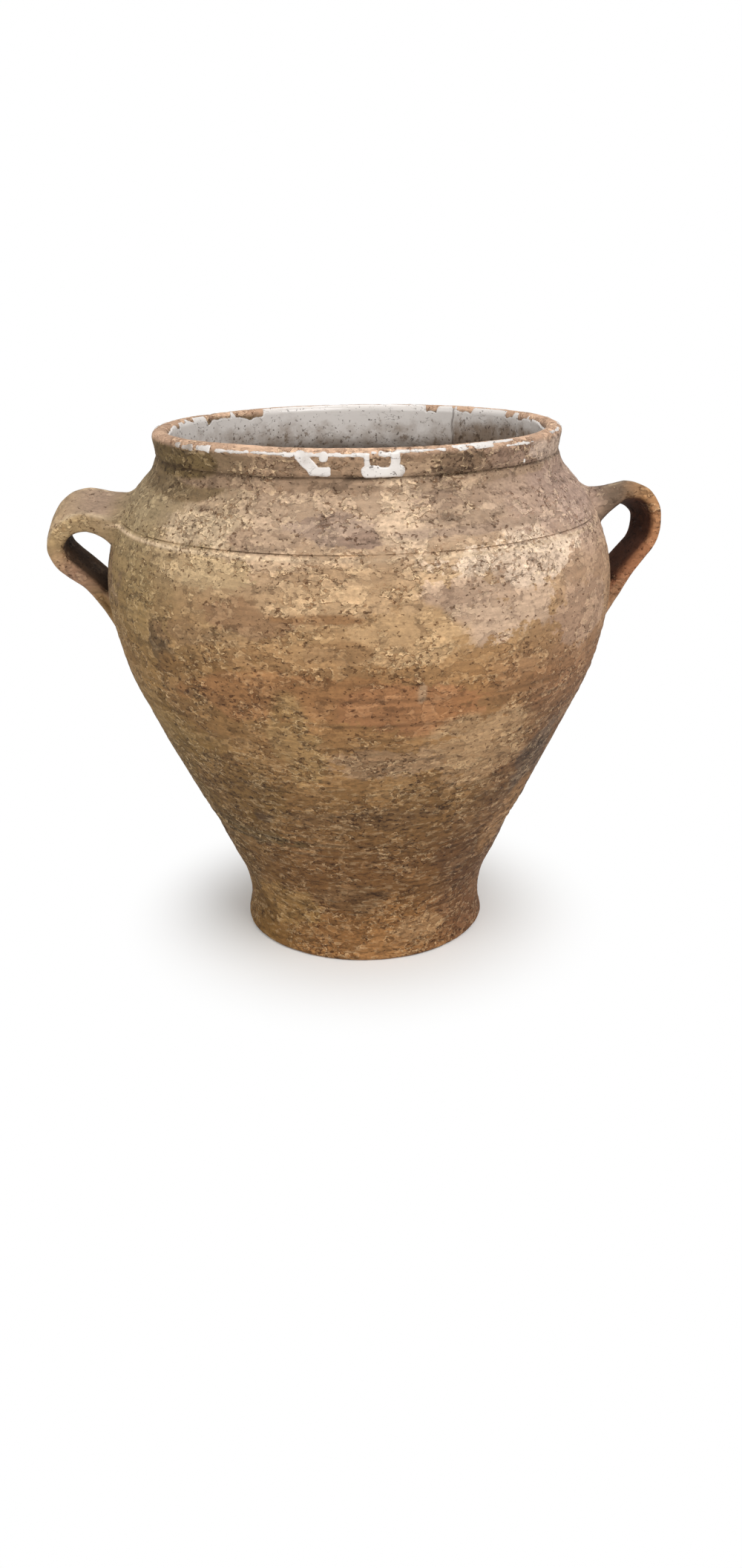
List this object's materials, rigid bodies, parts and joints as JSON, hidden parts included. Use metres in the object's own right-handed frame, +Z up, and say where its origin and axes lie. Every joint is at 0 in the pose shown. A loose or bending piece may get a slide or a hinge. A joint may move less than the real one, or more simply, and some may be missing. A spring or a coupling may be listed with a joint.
{
  "type": "two-handled storage jar",
  "caption": "Wide-mouthed earthenware storage jar with a tapered body, flared foot, collared rim, looped strap handles and a chipped white glaze lining.",
  "frame": {"origin": "centre of the flat underside, where the jar's axis meets the ground", "axes": "+Z up along the jar's axis, +X through the right handle, +Y away from the side that the picture shows"},
  "size_m": [0.488, 0.402, 0.42],
  "materials": {
    "clay": "matte, weathered",
    "white_glaze": "gloss, crazed and chipped"
  },
  "bodies": {
    "root": {"foot_section": "clay", "lower_wall": "clay", "shoulder_section": "clay", "rim_collar": "clay", "handle_left": "clay", "handle_right": "clay", "glaze_lining": "white_glaze", "rim_glaze": "white_glaze"}
  },
  "joints": []
}
